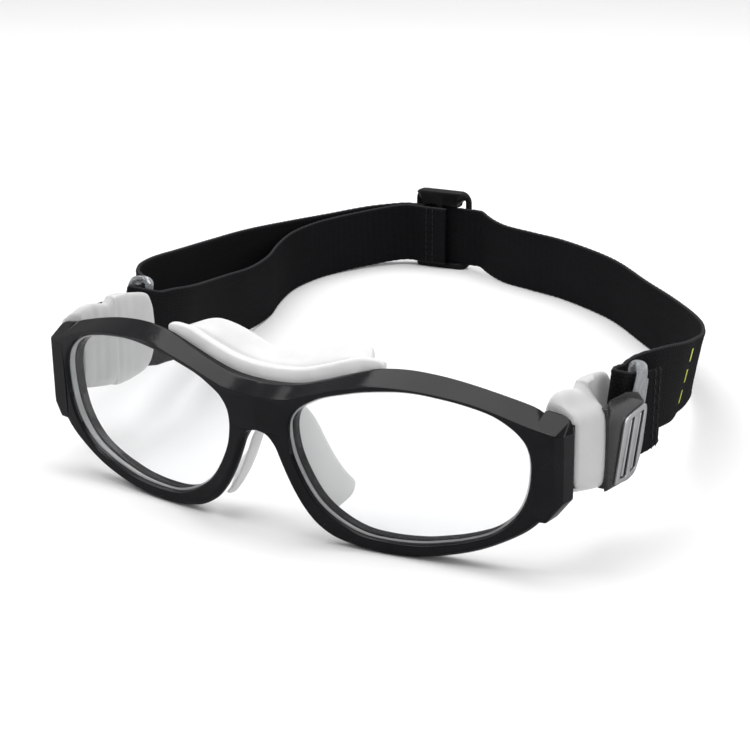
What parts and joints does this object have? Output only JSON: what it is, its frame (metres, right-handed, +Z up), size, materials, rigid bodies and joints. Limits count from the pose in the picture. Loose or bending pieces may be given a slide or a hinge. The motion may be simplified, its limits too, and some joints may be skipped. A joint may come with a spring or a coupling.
{
  "type": "sports protective goggles",
  "caption": "Wrap-front sports protective goggles with clear lenses, silicone brow, nose and temple pads, and an elastic head strap on pivoting clear loops.",
  "frame": {"origin": "on the resting plane, in the middle of the footprint's bounding box", "axes": "+X towards the wearer's left, -Y the way the wearer looks, +Z up"},
  "size_m": [0.2004, 0.2374, 0.045],
  "materials": {
    "frame_black": "gloss",
    "lens_clear": "clear hard-coated polycarbonate",
    "silicone_clear": "milky translucent silicone",
    "loop_clear": "clear moulded polycarbonate",
    "trim_silver": "satin",
    "inlay_chrome": "polished",
    "screw_steel": "machined",
    "webbing_black": "woven elastic webbing",
    "thread_black": "sewing thread",
    "slider_black": "satin"
  },
  "bodies": {
    "frame": {"front_frame": "frame_black", "lens_right": "lens_clear", "lens_left": "lens_clear", "brow_pad": "silicone_clear", "nose_pad": "silicone_clear", "temple_pad_right": "silicone_clear", "temple_pad_left": "silicone_clear", "end_cap_right": "frame_black", "end_cap_left": "frame_black", "trim_plate_right": "trim_silver", "trim_plate_left": "trim_silver", "chrome_inlays_right": "inlay_chrome", "chrome_inlays_left": "inlay_chrome", "cap_screw_right": "screw_steel", "cap_screw_left": "screw_steel", "pivot_screw_right": "screw_steel", "pivot_screw_left": "screw_steel"},
    "right_loop": {"strap_loop_right": "loop_clear", "head_strap": "webbing_black", "strap_stitching": "thread_black"},
    "left_loop": {"strap_loop_left": "loop_clear"},
    "slider": {"strap_slider": "slider_black"}
  },
  "joints": [
    {"name": "right_loop_swivel", "type": "hinge", "parent": "frame", "child": "right_loop", "pos_m": [0.0977, -0.08098, 0.026], "axis": [1, 0, 0], "range_deg": [-35, 40]},
    {"name": "left_loop_swivel", "type": "hinge", "parent": "frame", "child": "left_loop", "pos_m": [-0.0463, -0.08098, 0.026], "axis": [1, 0, 0], "range_deg": [-35, 40]},
    {"name": "slider_slide", "type": "slide", "parent": "right_loop", "child": "slider", "axis": [0.9976, 0.0698, 0], "range_m": [-0.003, 0.003]}
  ],
  "couplings": [
    {"joint": "left_loop_swivel", "follows": "right_loop_swivel", "ratio": 1}
  ]
}
